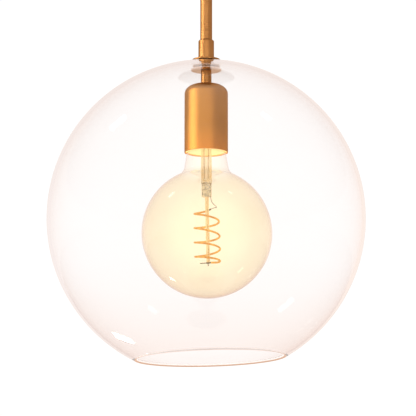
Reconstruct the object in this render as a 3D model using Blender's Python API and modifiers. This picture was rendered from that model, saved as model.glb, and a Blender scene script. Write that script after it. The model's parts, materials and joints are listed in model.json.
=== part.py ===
"""Pendant ceiling light: an open clear glass globe around a lit globe bulb, on a brass rod.

Metres, +Z up. The origin is the middle of the ceiling canopy's rim, on the ceiling plane, so
everything hangs below it. Heights written as drop(h) are measured up from the globe's centre.

The pieces hang in four groups: the canopy and what is fixed to it, the ring that turns in the
canopy's hole, everything that hangs from the ball in that ring, and the bulb with its insides.
"""
import math

import bmesh
import bpy
from mathutils import Matrix

# Driving dimensions.
GAP = 0.0003                    # clearance between pieces that touch
GLOBE_RADIUS = 0.1525           # outside of a 12 inch glass globe
GLOBE_WALL = 0.003
GLOBE_CENTRE_Z = -0.347         # below the ceiling
MOUTH_DROP = 0.1333             # globe centre to the plane of the open mouth
GLOBE_HOLE_RADIUS = 0.0062
ROD_RADIUS = 0.0055
THREAD_RADIUS = 0.00405         # M8 lamp thread, on the rod's ends and the nipple
THREAD_HOLE_RADIUS = THREAD_RADIUS + GAP
WIREWAY_RADIUS = 0.0029
COUPLING_RADIUS = 0.0076
SLEEVE_RADIUS = 0.00515
CUP_RADIUS = 0.021
CUP_WALL = 0.001
CUP_TOP = 0.1315                # heights above the globe's centre
CUP_MOUTH = 0.0644
BULB_RADIUS = 0.0625            # a 125 mm globe bulb
BULB_CENTRE = -0.0142
BULB_WALL = 0.0008
STEM_PINCH = 0.0209              # lower end of the bulb's glass stem, above the globe's centre
SUPPORT_ROD_END = -0.0426
CANOPY_RADIUS = 0.0635
CANOPY_DEPTH = 0.030
CANOPY_WALL = 0.001
STUD_SPACING = 0.084
BALL_RADIUS = 0.011
BALL_Z = -0.0245
WIRE_RADIUS = 0.00095
LEAD_RADIUS = 0.0003
NIPPLE_END = 0.1234             # above the globe's centre
M8_NUT_FLATS = 0.012
M8_NUT_HEIGHT = 0.003
SCREW_HOLE_RADIUS = 0.0018      # for the lampholder's M3 screws
SCREW_SHANK_RADIUS = 0.0015

for old in list(bpy.data.objects):
    bpy.data.objects.remove(old, do_unlink=True)
parts = bpy.data.collections.new("pendant_light")
cutters = bpy.data.collections.new("cutters")
bpy.context.scene.collection.children.link(parts)
bpy.context.scene.collection.children.link(cutters)


def drop(height):
    """The world height of a point that lies this far above the globe's centre."""
    return GLOBE_CENTRE_Z + height


def new_material(name, colour, metallic, roughness, transmission=0.0):
    material = bpy.data.materials.new(name)
    material.use_nodes = True
    shader = material.node_tree.nodes["Principled BSDF"]
    shader.inputs["Base Color"].default_value = (*colour, 1.0)
    shader.inputs["Metallic"].default_value = metallic
    shader.inputs["Roughness"].default_value = roughness
    shader.inputs["Transmission Weight"].default_value = transmission
    return material


BRASS = new_material("brass", (0.78, 0.52, 0.26), 1.0, 0.28)
DARK_BRASS = new_material("turned_brass", (0.66, 0.42, 0.20), 1.0, 0.35)
STEEL = new_material("zinc_steel", (0.62, 0.63, 0.64), 1.0, 0.4)
GREEN_STEEL = new_material("green_screw", (0.10, 0.36, 0.14), 0.6, 0.4)
CLEAR_GLASS = new_material("clear_glass", (0.99, 0.96, 0.94), 0.0, 0.02, 1.0)
BULB_GLASS = new_material("amber_bulb_glass", (1.0, 0.88, 0.62), 0.0, 0.02, 1.0)
STEM_GLASS = new_material("stem_glass", (0.98, 0.90, 0.74), 0.0, 0.05, 1.0)
CLEAR_RUBBER = new_material("clear_rubber", (0.80, 0.72, 0.66), 0.0, 0.5)
NYLON = new_material("nylon", (0.85, 0.83, 0.78), 0.0, 0.5)
PORCELAIN = new_material("porcelain", (0.93, 0.92, 0.88), 0.0, 0.15)
BLACK_GLASS = new_material("black_glass", (0.02, 0.02, 0.03), 0.0, 0.1)
SOLDER = new_material("solder", (0.70, 0.71, 0.73), 1.0, 0.35)
FILAMENT = new_material("filament", (1.0, 0.52, 0.16), 0.0, 0.5)
LEAD_WIRE = new_material("lead_wire", (0.45, 0.33, 0.25), 1.0, 0.4)
BOARD = new_material("circuit_board", (0.05, 0.25, 0.12), 0.0, 0.5)
CAPACITOR = new_material("capacitor_sleeve", (0.08, 0.09, 0.16), 0.0, 0.4)
LIVE_WIRE = new_material("live_insulation", (0.02, 0.02, 0.02), 0.0, 0.5)
NEUTRAL_WIRE = new_material("neutral_insulation", (0.90, 0.90, 0.88), 0.0, 0.5)
GROUND_WIRE = new_material("ground_insulation", (0.10, 0.42, 0.16), 0.0, 0.5)


def finish(thing, material):
    """Give a turned object its material and smooth shading with sharp edges."""
    thing.data.materials.append(material)
    thing.data.shade_smooth()
    thing.data.set_sharp_from_angle(angle=math.radians(35))
    return thing


def arc(centre_r, centre_z, radius_r, radius_z, start, end, steps):
    """Points of an elliptical arc in a turned profile; angles in degrees, 0 outwards, 90 up."""
    points = []
    for step in range(steps + 1):
        angle = math.radians(start + (end - start) * step / steps)
        points.append((centre_r + radius_r * math.cos(angle), centre_z + radius_z * math.sin(angle)))
    return points


def turned(name, profile, material, closed=True, segments=20, centre=(0.0, 0.0), collection=parts):
    """A turned solid about a vertical axis, from (radius, height) points.

    A closed profile makes a ring. An open one starts and ends on the axis. Both run down their
    outer side.
    """
    mesh = bpy.data.meshes.new(name)
    count = len(profile)
    edges = [(index, index + 1) for index in range(count - 1)]
    if closed:
        edges.append((count - 1, 0))
    mesh.from_pydata([(radius, 0.0, height) for radius, height in profile], edges, [])
    thing = bpy.data.objects.new(name, mesh)
    thing.location = (centre[0], centre[1], 0.0)
    collection.objects.link(thing)
    turn = thing.modifiers.new("turn", 'SCREW')
    turn.axis = 'Z'
    turn.angle = 2.0 * math.pi
    turn.steps = segments
    turn.render_steps = segments
    turn.use_merge_vertices = True
    turn.merge_threshold = 0.00001
    turn.use_normal_calculate = False
    solid = as_mesh(thing, collection)
    return finish(solid, material) if material else solid


def as_mesh(thing, collection):
    """Replace an object with the mesh that its curve or modifiers make, welded."""
    bpy.context.view_layer.update()
    evaluated = thing.evaluated_get(bpy.context.evaluated_depsgraph_get())
    mesh = bpy.data.meshes.new_from_object(evaluated)
    cleaner = bmesh.new()
    cleaner.from_mesh(mesh)
    bmesh.ops.remove_doubles(cleaner, verts=cleaner.verts, dist=0.000005)
    cleaner.to_mesh(mesh)
    cleaner.free()
    name = thing.name
    matrix = thing.matrix_world.copy()
    bpy.data.objects.remove(thing, do_unlink=True)
    solid = bpy.data.objects.new(name, mesh)
    solid.matrix_world = matrix
    collection.objects.link(solid)
    return solid


def ring(name, inner, outer, bottom, top, material, bevel=0.0, segments=24):
    """A plain turned ring with small bevels on its outer edges."""
    profile = [(inner, top), (outer - bevel, top), (outer, top - bevel),
               (outer, bottom + bevel), (outer - bevel, bottom), (inner, bottom)]
    if bevel == 0.0:
        profile = [(inner, top), (outer, top), (outer, bottom), (inner, bottom)]
    return turned(name, profile, material, segments=segments)


def wire(name, points, radius, material, resolution=2):
    """A round wire through the points, with closed ends."""
    curve = bpy.data.curves.new(name, 'CURVE')
    curve.dimensions = '3D'
    curve.bevel_depth = radius
    curve.bevel_resolution = resolution
    curve.render_resolution_u = 0
    curve.use_fill_caps = True
    spline = curve.splines.new('POLY')
    spline.points.add(len(points) - 1)
    for point, place in zip(spline.points, points):
        point.co = (*place, 1.0)
    thing = bpy.data.objects.new(name, curve)
    parts.objects.link(thing)
    curve.materials.append(material)
    return thing


def plate(name, outlines, thickness, material):
    """A flat plate in its own XY plane, centred on it; outlines after the first are holes."""
    curve = bpy.data.curves.new(name, 'CURVE')
    curve.dimensions = '2D'
    curve.fill_mode = 'BOTH'
    curve.extrude = thickness / 2.0
    curve.render_resolution_u = 0
    for outline in outlines:
        spline = curve.splines.new('POLY')
        spline.points.add(len(outline) - 1)
        for point, place in zip(spline.points, outline):
            point.co = (*place, 0.0, 1.0)
        spline.use_cyclic_u = True
    thing = bpy.data.objects.new(name, curve)
    parts.objects.link(thing)
    curve.materials.append(material)
    return thing


def circle(radius, sides, centre=(0.0, 0.0)):
    """A round outline for plate()."""
    points = []
    for side in range(sides):
        angle = 2.0 * math.pi * side / sides
        points.append((centre[0] + radius * math.cos(angle), centre[1] + radius * math.sin(angle)))
    return points


def slot(length, width, centre, sides=12):
    """A slot's outline along X, with round ends."""
    half = (length - width) / 2.0
    points = []
    for side in range(sides + 1):
        angle = -math.pi / 2.0 + math.pi * side / sides
        points.append((centre + half + width / 2.0 * math.cos(angle), width / 2.0 * math.sin(angle)))
    for side in range(sides + 1):
        angle = math.pi / 2.0 + math.pi * side / sides
        points.append((centre - half + width / 2.0 * math.cos(angle), width / 2.0 * math.sin(angle)))
    return points


def hex_nut(name, across_flats, hole, bottom, height, material, centre=(0.0, 0.0)):
    """A plain hexagon nut with its underside at bottom."""
    corner = across_flats / math.sqrt(3.0)
    nut = plate(name, [circle(corner, 6), circle(hole, 20)], height, material)
    nut.location = (centre[0], centre[1], bottom + height / 2.0)
    return nut


def cut(solid, cutter):
    """Take a cutter out of a solid."""
    cutter.hide_render = True
    cutter.display_type = 'WIRE'
    boolean = solid.modifiers.new("cut_" + cutter.name, 'BOOLEAN')
    boolean.operation = 'DIFFERENCE'
    boolean.solver = 'EXACT'
    boolean.object = cutter


def drill(solid, radius, centre, bottom, top):
    """Cut a vertical round hole."""
    name = f"{solid.name}_hole_{len(solid.modifiers)}"
    profile = [(0.0, top), (radius, top), (radius, bottom), (0.0, bottom)]
    hole = turned(name, profile, None, closed=False, segments=16, centre=centre,
                  collection=cutters)
    cut(solid, hole)


def screw(name, head_radius, head_height, shank_radius, seat, tip, material, centre, up=True):
    """A slotted pan-head screw: the head's underside at seat, the shank's end at tip."""
    way = 1.0 if up else -1.0
    crown = head_height * 0.35
    profile = [(0.0, seat + way * head_height),
               (head_radius * 0.75, seat + way * head_height),
               (head_radius, seat + way * (head_height - crown)),
               (head_radius, seat), (shank_radius, seat),
               (shank_radius, tip + way * shank_radius * 0.4),
               (shank_radius * 0.6, tip), (0.0, tip)]
    if not up:
        profile.reverse()
    solid = turned(name, profile, material, closed=False, segments=14, centre=centre)
    slot_size = (head_radius * 2.6, head_radius * 0.28, head_height * 0.9, 1.0)
    bpy.ops.mesh.primitive_cube_add(size=1.0)
    blade = bpy.context.object
    blade.name = name + "_blade"
    blade.data.transform(Matrix.Diagonal(slot_size))
    blade.location = (centre[0], centre[1], seat + way * head_height)
    for home in list(blade.users_collection):
        home.objects.unlink(blade)
    cutters.objects.link(blade)
    cut(solid, blade)
    return solid


def build_canopy():
    """The ceiling canopy with its crossbar, studs and nuts: what stays on the ceiling."""
    edge = 0.006
    flange = 0.0595
    bottom = -CANOPY_DEPTH
    seat_hole = 0.0129
    outer = [(flange, 0.0), (CANOPY_RADIUS, 0.0)]
    outer += arc(CANOPY_RADIUS - edge, bottom + edge, edge, edge, 0, -90, 4)
    outer += [(seat_hole, bottom)]
    inner_edge = edge - CANOPY_WALL
    inner = [(seat_hole, bottom + CANOPY_WALL)]
    inner += arc(CANOPY_RADIUS - edge, bottom + edge, inner_edge, inner_edge, -90, 0, 4)
    inner += [(CANOPY_RADIUS - CANOPY_WALL, -CANOPY_WALL), (flange, -CANOPY_WALL)]
    shell = turned("canopy_shell", outer + inner, BRASS, segments=32)

    bar_thickness = 0.002
    stud_x = STUD_SPACING / 2.0
    stud_top = -0.0002
    stud_radius = 0.00205
    stud_hole = stud_radius + GAP
    box_screw_x = 0.033
    ground_x = 0.020
    ground_shank = 0.0017
    middle_hole = 0.0052
    bar_outline = slot(0.100, 0.016, 0.0)
    holes = [circle(middle_hole, 24), circle(ground_shank + GAP, 16, (ground_x, 0.0))]
    for side in (-1.0, 1.0):
        holes.append(slot(0.008, 0.005, side * box_screw_x, sides=8))
        holes.append(circle(stud_hole, 16, (side * stud_x, 0.0)))
    bar = plate("mounting_crossbar", [bar_outline] + holes, bar_thickness, STEEL)
    bar.location = (0.0, 0.0, -bar_thickness / 2.0)
    screw("ground_screw", 0.0036, 0.0022, ground_shank, -bar_thickness - GAP, -0.0004,
          GREEN_STEEL, (ground_x, 0.0), up=False)

    nut_height = 0.0032
    nut_bottom = -bar_thickness - GAP - nut_height
    cap_top = bottom - GAP
    cap_floor = cap_top - 0.0068
    cap_rim = 0.0048
    cap_radius = 0.0053
    for side, word in ((-1.0, "left"), (1.0, "right")):
        place = (side * stud_x, 0.0)
        drill(shell, stud_hole, place, bottom - 0.002, bottom + 0.004)
        stud = [(0.0, stud_top), (stud_radius, stud_top), (stud_radius, cap_floor + GAP),
                (0.0, cap_floor + GAP)]
        turned(f"canopy_stud_{word}", stud, STEEL, closed=False, segments=12, centre=place)
        hex_nut(f"stud_locknut_{word}", 0.008, stud_hole, nut_bottom, nut_height, STEEL, place)
        cap = [(0.0, cap_floor), (stud_hole, cap_floor), (stud_hole, cap_top), (cap_rim, cap_top),
               (cap_radius, cap_top - 0.0005), (cap_radius, cap_top - 0.0050)]
        cap += arc(0.0, cap_top - 0.0055, 0.0050, 0.0032, 0, -90, 4)
        turned(f"canopy_cap_nut_{word}", cap, BRASS, closed=False, segments=16, centre=place)


def build_swivel():
    """The ring that turns in the canopy's hole, and the ball that swings in it."""
    socket_radius = BALL_RADIUS + GAP
    seat_top = BALL_Z - 0.0005
    flange_top = BALL_Z - 0.0022
    flange_low = BALL_Z - 0.0042        # it rests on the canopy's floor
    lip = 0.0063
    body = 0.0136
    flange = 0.016
    neck = 0.0126
    seat = [(socket_radius, seat_top), (body, seat_top), (body, flange_top), (flange, flange_top),
            (flange, flange_low), (neck, flange_low), (neck, BALL_Z - lip)]
    lip_angle = -math.degrees(math.asin(lip / socket_radius))
    seat += arc(0.0, BALL_Z, socket_radius, socket_radius, lip_angle, -4, 4)
    turned("swivel_seat", seat, NYLON, segments=28)

    top_flat = 0.0085
    bottom_flat = 0.0094
    high = math.degrees(math.asin(top_flat / BALL_RADIUS))
    low = -math.degrees(math.asin(bottom_flat / BALL_RADIUS))
    ball = [(THREAD_HOLE_RADIUS, BALL_Z + top_flat)]
    ball += arc(0.0, BALL_Z, BALL_RADIUS, BALL_RADIUS, high, low, 8)
    ball += [(THREAD_HOLE_RADIUS, BALL_Z - bottom_flat)]
    turned("swivel_ball", ball, BRASS, segments=28)
    hex_nut("rod_locknut", M8_NUT_FLATS, THREAD_HOLE_RADIUS, BALL_Z + top_flat + GAP,
            M8_NUT_HEIGHT, STEEL)


def build_stem():
    """The rod, its coupling, and the nipple and washers that clamp the glass."""
    rod_top = BALL_Z + 0.013
    upper_shoulder = BALL_Z - 0.0097
    coupling_top = drop(0.1756)
    coupling_bottom = drop(0.1567)
    lower_shoulder = coupling_top + GAP
    rod_end = drop(0.168)
    rod = [(WIREWAY_RADIUS, rod_top), (THREAD_RADIUS, rod_top), (THREAD_RADIUS, upper_shoulder),
           (ROD_RADIUS, upper_shoulder), (ROD_RADIUS, lower_shoulder),
           (THREAD_RADIUS, lower_shoulder), (THREAD_RADIUS, rod_end), (WIREWAY_RADIUS, rod_end)]
    turned("suspension_rod", rod, BRASS)
    ring("rod_coupling", THREAD_HOLE_RADIUS, COUPLING_RADIUS, coupling_bottom, coupling_top, BRASS,
         bevel=0.0007)
    ring("upper_washer", THREAD_HOLE_RADIUS, 0.0136, drop(0.1549), drop(0.1564), BRASS,
         bevel=0.0003, segments=32)
    cone_top = drop(0.1546)
    cone_low = drop(0.1493)
    cone_wide = 0.0072
    cone_narrow = 0.0052
    cone = [(THREAD_HOLE_RADIUS, cone_top), (cone_wide, cone_top), (cone_wide, drop(0.1540)),
            (cone_narrow, drop(0.1521)), (cone_narrow, cone_low), (THREAD_HOLE_RADIUS, cone_low)]
    turned("centring_cone", cone, BRASS)
    ring("upper_gasket", 0.0077, 0.0115, drop(0.15275), cone_top, CLEAR_RUBBER)
    ring("lower_gasket", 0.0045, 0.0080, drop(0.1484), drop(0.1489), CLEAR_RUBBER)
    ring("lower_washer", THREAD_HOLE_RADIUS, 0.0149, drop(0.1471), drop(0.1481), BRASS,
         bevel=0.0003, segments=32)
    ring("spacer_sleeve", THREAD_HOLE_RADIUS, SLEEVE_RADIUS, drop(CUP_TOP) + GAP, drop(0.1468),
         BRASS)
    ring("threaded_nipple", WIREWAY_RADIUS, THREAD_RADIUS, drop(NIPPLE_END), drop(0.1674), STEEL)


def build_globe():
    """The clear glass globe: a hole for the nipple at its top, a wide open mouth below."""
    inside = GLOBE_RADIUS - GLOBE_WALL
    middle = GLOBE_RADIUS - GLOBE_WALL / 2.0
    bead = GLOBE_WALL / 2.0
    hole_top = math.degrees(math.acos(GLOBE_HOLE_RADIUS / GLOBE_RADIUS))
    hole_low = math.degrees(math.acos(GLOBE_HOLE_RADIUS / inside))
    rim = -math.degrees(math.asin((MOUTH_DROP - bead) / middle))
    rim_r = middle * math.cos(math.radians(rim))
    rim_z = drop(middle * math.sin(math.radians(rim)))
    seat = 78.0
    bands = 14
    profile = arc(0.0, GLOBE_CENTRE_Z, GLOBE_RADIUS, GLOBE_RADIUS, hole_top, seat, 2)[:-1]
    profile += arc(0.0, GLOBE_CENTRE_Z, GLOBE_RADIUS, GLOBE_RADIUS, seat, rim, bands)
    profile += arc(rim_r, rim_z, bead, bead, rim - 36, rim - 144, 3)
    profile += arc(0.0, GLOBE_CENTRE_Z, inside, inside, rim, seat, bands)[:-1]
    profile += arc(0.0, GLOBE_CENTRE_Z, inside, inside, seat, hole_low, 2)
    turned("glass_globe", profile, CLEAR_GLASS, segments=36)


def build_cup():
    """The brass cup that hides the lampholder, open downwards around the bulb's neck."""
    flat = 0.010                        # the crown's flat middle, then a round shoulder
    reach = CUP_RADIUS - flat
    rise = 0.009
    bore = 0.0044
    shoulder_z = drop(CUP_TOP - rise)
    outer = [(bore, drop(CUP_TOP))]
    outer += arc(flat, shoulder_z, reach, rise, 90, 0, 5)
    outer += [(CUP_RADIUS, drop(CUP_MOUTH))]
    inner = [(CUP_RADIUS - CUP_WALL, drop(CUP_MOUTH))]
    inner += arc(flat, shoulder_z, reach - CUP_WALL, rise - CUP_WALL, 0, 90, 5)
    inner += [(bore, drop(CUP_TOP - CUP_WALL))]
    turned("socket_cup", outer + inner, BRASS, segments=32)


def build_lampholder():
    """The porcelain lampholder, the bracket that hangs it in the cup, and its contacts."""
    body_top = 0.114                    # heights above the globe's centre
    body_bottom = 0.0745
    step_top = 0.0925
    step_low = 0.0905
    cavity_top = 0.106
    body_radius = 0.0172
    skirt_radius = 0.0186
    cavity_radius = 0.0149
    foot_x = 0.0128
    foot_end = 0.0152
    terminal_y = 0.0115
    half_bar = 0.0095
    sheet = 0.0012

    plate_top = drop(0.1301)
    plate_low = plate_top - sheet
    foot_low = drop(body_top) + GAP
    foot_top = foot_low + sheet
    under_bar = half_bar - sheet
    hat = [(-foot_end, foot_low), (-under_bar, foot_low), (-under_bar, plate_low),
           (under_bar, plate_low), (under_bar, foot_low), (foot_end, foot_low),
           (foot_end, foot_top), (half_bar, foot_top), (half_bar, plate_top),
           (-half_bar, plate_top), (-half_bar, foot_top), (-foot_end, foot_top)]
    bracket = plate("bracket_sheet", [hat], 0.010, STEEL)
    bracket.rotation_euler = (math.pi / 2.0, 0.0, 0.0)
    bracket = as_mesh(bracket, parts)
    bracket.name = "lampholder_bracket"
    drill(bracket, THREAD_HOLE_RADIUS, (0.0, 0.0), plate_low - 0.001, plate_top + 0.001)

    washer_top = plate_low - GAP
    washer_low = washer_top - 0.0006
    ring("bracket_lock_washer", THREAD_HOLE_RADIUS, 0.0068, washer_low, washer_top, STEEL)
    hex_nut("bracket_locknut", M8_NUT_FLATS, THREAD_HOLE_RADIUS, washer_low - GAP - M8_NUT_HEIGHT,
            M8_NUT_HEIGHT, STEEL)

    edge = 0.0008
    body = [(0.0, drop(body_top)), (body_radius - edge, drop(body_top)),
            (body_radius, drop(body_top - edge)), (body_radius, drop(step_top)),
            (skirt_radius, drop(step_low)), (skirt_radius, drop(body_bottom + edge)),
            (skirt_radius - edge, drop(body_bottom)), (cavity_radius, drop(body_bottom)),
            (cavity_radius, drop(cavity_top - edge)), (cavity_radius - edge, drop(cavity_top)),
            (0.0, drop(cavity_top))]
    porcelain = turned("lampholder_body", body, PORCELAIN, closed=False, segments=28)
    hole_low = drop(cavity_top - 0.003)
    hole_high = drop(body_top + 0.002)
    screw_tip = drop(cavity_top + 0.0005)
    for side, word in ((-1.0, "left"), (1.0, "right")):
        place = (side * foot_x, 0.0)
        drill(bracket, SCREW_HOLE_RADIUS, place, foot_low - 0.001, foot_top + 0.001)
        drill(porcelain, SCREW_HOLE_RADIUS, place, hole_low, hole_high)
        screw(f"bracket_screw_{word}", 0.0027, 0.0018, SCREW_SHANK_RADIUS, foot_top + GAP,
              screw_tip, STEEL, place)
    for side, word in ((1.0, "live"), (-1.0, "neutral")):
        place = (0.0, side * terminal_y)
        drill(porcelain, SCREW_HOLE_RADIUS, place, hole_low, hole_high)
        screw(f"{word}_terminal_screw", 0.0032, 0.0020, SCREW_SHANK_RADIUS, drop(body_top) + GAP,
              screw_tip, BRASS if word == "live" else STEEL, place)

    shell_radius = 0.0142
    shell_hole = 0.0085
    shell_top = drop(0.1015)
    shell_low = 0.0770
    shell_roof = shell_top - 0.0004
    groove = thread_outline(0.0139, 0.0005, shell_low, 0.1000, 6)
    outer = [(shell_hole, shell_top), (shell_radius, shell_top), (shell_radius, drop(shell_low))]
    inner = groove + [(groove[-1][0], shell_roof), (shell_hole, shell_roof)]
    turned("screw_shell", outer + inner, DARK_BRASS, segments=28)

    strip = 0.0006
    high = drop(0.1054)
    tip = drop(0.1009)
    root = -0.0130
    toe = 0.0028
    side_view = [(root, high), (-0.0030, high), (0.0, tip + strip), (toe, tip + strip),
                 (toe, tip), (-0.0003, tip), (-0.0034, high - strip), (root, high - strip)]
    contact = plate("centre_contact", [side_view], 0.006, DARK_BRASS)
    contact.rotation_euler = (math.pi / 2.0, 0.0, -math.pi / 2.0)


def thread_outline(radius, depth, low, high, turns):
    """A rolled lamp thread's wavy side, bottom to top, as (radius, height) points."""
    points = []
    steps = turns * 2
    for step in range(steps + 1):
        crest = radius if step % 2 == 0 else radius - depth
        points.append((crest, drop(low + (high - low) * step / steps)))
    return points


def build_wires():
    """Three insulated wires, held all the way inside the rod and the nipple."""
    top = BALL_Z + 0.018
    bend = drop(NIPPLE_END) - 0.0008
    spread = 0.0013
    routes = {
        "live_wire": (90, LIVE_WIRE, [(0.0008, 0.0030, 0.1200), (0.0008, 0.0060, 0.1172),
                                      (0.0004, 0.0078, 0.1162)]),
        "ground_wire": (210, GROUND_WIRE, [(-0.0030, -0.0028, 0.1206), (-0.0064, -0.0072, 0.1190),
                                           (-0.0112, -0.0092, 0.1174), (-0.0128, -0.0066, 0.1169),
                                           (-0.0128, -0.0034, 0.1169)]),
        "neutral_wire": (330, NEUTRAL_WIRE, [(0.0014, -0.0034, 0.1200), (0.0010, -0.0062, 0.1172),
                                             (0.0006, -0.0078, 0.1162)]),
    }
    for name, (angle, material, tail) in routes.items():
        x = spread * math.cos(math.radians(angle))
        y = spread * math.sin(math.radians(angle))
        points = [(x, y, top), (x, y, bend)]
        points += [(across, along, drop(height)) for across, along, height in tail]
        wire(name, points, WIRE_RADIUS, material)


def build_bulb():
    """The globe bulb: glass, base, and the spiral filament on its glass stem."""
    inside = BULB_RADIUS - BULB_WALL
    centre = drop(BULB_CENTRE)
    shoulder = 64.0
    neck = [(0.0242, 0.0441), (0.0224, 0.0464), (0.0214, 0.0492), (0.0197, 0.0590),
            (0.0189, 0.0640), (0.0175, 0.0680), (0.0152, 0.0712), (0.0132, 0.0730),
            (0.0123, 0.0748), (0.0123, 0.0780)]
    outer = [(radius, drop(height)) for radius, height in reversed(neck)]
    outer += arc(0.0, centre, BULB_RADIUS, BULB_RADIUS, shoulder, -90, 12)
    inner = arc(0.0, centre, inside, inside, -90, shoulder, 12)
    inner += [(radius - BULB_WALL, drop(height - 0.0004)) for radius, height in neck[:-1]]
    inner += [(neck[-1][0] - BULB_WALL, drop(neck[-1][1]))]
    outer[-1] = (0.0, outer[-1][1])
    inner[0] = (0.0, inner[0][1])
    turned("bulb_glass", inner + outer, BULB_GLASS, closed=False, segments=32)

    build_bulb_base()
    build_stem_glass()
    build_filament()


def build_bulb_base():
    """The bulb's screw cap and contacts, and the small driver inside it."""
    sheet = 0.0004
    crest = 0.0131
    crown_hole = 0.0070
    crown = drop(0.0978)
    cap_low = drop(0.0741)
    groove = thread_outline(crest, 0.0006, 0.0770, 0.0950, 5)
    cap_outer = [(crown_hole, crown), (0.0094, drop(0.0974)), (0.0118, drop(0.0962))]
    cap_outer += list(reversed(groove)) + [(crest, cap_low)]
    cap_inner = [(crest - sheet, cap_low), (crest - sheet, drop(0.0770)), (0.0121, drop(0.0790)),
                 (0.0121, drop(0.0945)), (0.0115, drop(0.0958)), (0.0092, drop(0.0970)),
                 (crown_hole, crown - sheet)]
    turned("bulb_cap", cap_outer + cap_inner, STEEL, segments=28)

    insulator_radius = 0.0067
    insulator_low = drop(0.0966)
    insulator = [(0.0, drop(0.0990)), (0.0044, drop(0.0989)), (insulator_radius, drop(0.0979)),
                 (insulator_radius, insulator_low), (0.0, insulator_low)]
    turned("cap_insulator", insulator, BLACK_GLASS, closed=False)
    button_low = drop(0.0993)
    button = [(0.0, drop(0.1004)), (0.0020, drop(0.1002)), (0.0038, drop(0.0996)),
              (0.0040, button_low), (0.0, button_low)]
    turned("cap_contact", button, SOLDER, closed=False, segments=16)

    half_width = 0.0090
    half_height = 0.0070
    board_outline = [(-half_width, -half_height), (half_width, -half_height),
                     (half_width, half_height), (-half_width, half_height)]
    board = plate("driver_board", [board_outline], 0.0012, BOARD)
    board.rotation_euler = (math.pi / 2.0, 0.0, 0.0)
    board.location = (0.0, 0.0, drop(0.0875))
    can_radius = 0.0030
    can_top = drop(0.0915)
    can_low = drop(0.0820)
    can_edge = 0.0005
    can = [(0.0, can_top), (can_radius - can_edge, can_top), (can_radius, can_top - can_edge),
           (can_radius, can_low), (0.0, can_low)]
    turned("driver_capacitor", can, CAPACITOR, closed=False, segments=12, centre=(0.0, 0.0040))


def build_stem_glass():
    """The glass mount: a flared tube pinched flat at its lower end, and the support rod."""
    tube = 0.0053
    bore = 0.0043
    pinch_top = drop(0.0345)
    pinch_low = drop(STEM_PINCH)
    pinch_half_width = 0.00475
    pinch_half_depth = 0.0026
    profile = [(0.0, drop(0.0360)), (0.0038, drop(0.0375)), (bore, drop(0.0400)),
               (bore, drop(0.0690)), (0.0062, drop(0.0720)), (0.0100, drop(0.0765)),
               (0.0110, drop(0.0772)), (0.0112, drop(0.0764)), (0.0072, drop(0.0716)),
               (tube, drop(0.0680)), (tube, drop(0.0385)), (0.0050, pinch_top),
               (pinch_half_width, drop(0.0300)), (pinch_half_width, drop(0.0222)),
               (0.0040, pinch_low), (0.0, pinch_low)]
    stem = turned("mount_stem", profile, STEM_GLASS, closed=False, segments=24)
    for vertex in stem.data.vertices:
        if vertex.co.z <= pinch_top + GAP:
            vertex.co.y *= pinch_half_depth / pinch_half_width

    lean_top = (0.0006, 0.0, pinch_low - GAP)
    lean_low = (0.0024, 0.0, drop(SUPPORT_ROD_END))
    past_end = 0.002
    rod = wire("support_rod_core", [lean_top, lean_low], 0.0015, STEM_GLASS)
    bore = wire("support_rod_bore", [(lean_top[0], 0.0, lean_top[2] + past_end),
                                     (lean_low[0], 0.0, lean_low[2] - past_end)], 0.0006, STEM_GLASS)
    rod = as_mesh(rod, parts)
    rod.name = "support_rod"
    bore = as_mesh(bore, cutters)
    cut(rod, bore)

    for side, word in ((-1.0, "live"), (1.0, "neutral")):
        wire(f"base_lead_{word}", [(side * 0.0030, 0.0, drop(0.0801)),
                                   (side * 0.0022, 0.0, drop(0.0700)),
                                   (side * 0.0018, 0.0, drop(0.0385))], LEAD_RADIUS, LEAD_WIRE)


def build_filament():
    """The spiral filament around the support rod, its two crimps and their lead wires."""
    coil_radius = 0.0119
    coil_x = 0.0007
    turns = 3.9
    start = math.radians(88.0)
    top = 0.0077
    low = -0.0420
    steps = int(turns * 11)
    points = []
    for step in range(steps + 1):
        share = step / steps
        angle = start + 2.0 * math.pi * turns * share
        points.append((coil_x + coil_radius * math.cos(angle), coil_radius * math.sin(angle),
                       drop(top + (low - top) * share)))
    wire("filament", points, 0.0007, FILAMENT)

    crimp_length = 0.0028
    crimp_radius = 0.0009
    crimp_clear = 0.0005
    first = points[0]
    last = points[-1]
    clip_top_end = (first[0] + crimp_clear + crimp_length, first[1], first[2] + 0.0004)
    wire("filament_clip_top", [(first[0] + crimp_clear, first[1], first[2] + 0.0002),
                               clip_top_end], crimp_radius, LEAD_WIRE)
    end_angle = start + 2.0 * math.pi * turns
    onward = (-math.sin(end_angle), math.cos(end_angle))
    clip_from = (last[0] + onward[0] * crimp_clear, last[1] + onward[1] * crimp_clear, last[2])
    clip_to = (clip_from[0] + onward[0] * crimp_length, clip_from[1] + onward[1] * crimp_length,
               last[2] - 0.0003)
    wire("filament_clip_bottom", [clip_from, clip_to], crimp_radius, LEAD_WIRE)

    wire("lead_wire_top", [(0.0031, 0.0, drop(0.0206)), (0.0034, 0.0012, drop(0.0170)),
                           (0.0044, 0.0080, drop(0.0110)),
                           (clip_top_end[0] + 0.0004, clip_top_end[1] - 0.0004,
                            clip_top_end[2] + 0.0016)], LEAD_RADIUS, LEAD_WIRE)
    wire("lead_wire_bottom", [(0.0007, 0.0, drop(0.0200)), (0.0024, 0.0, drop(-0.0431)),
                              (0.0006, 0.0012, drop(-0.0440)), (-0.0046, 0.0060, drop(-0.0438)),
                              (clip_to[0] - 0.0012, clip_to[1] - 0.0006, drop(-0.0432))],
         LEAD_RADIUS, LEAD_WIRE)


build_canopy()
build_swivel()
build_stem()
build_globe()
build_cup()
build_lampholder()
build_wires()
build_bulb()
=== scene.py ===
import json
import math

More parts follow.
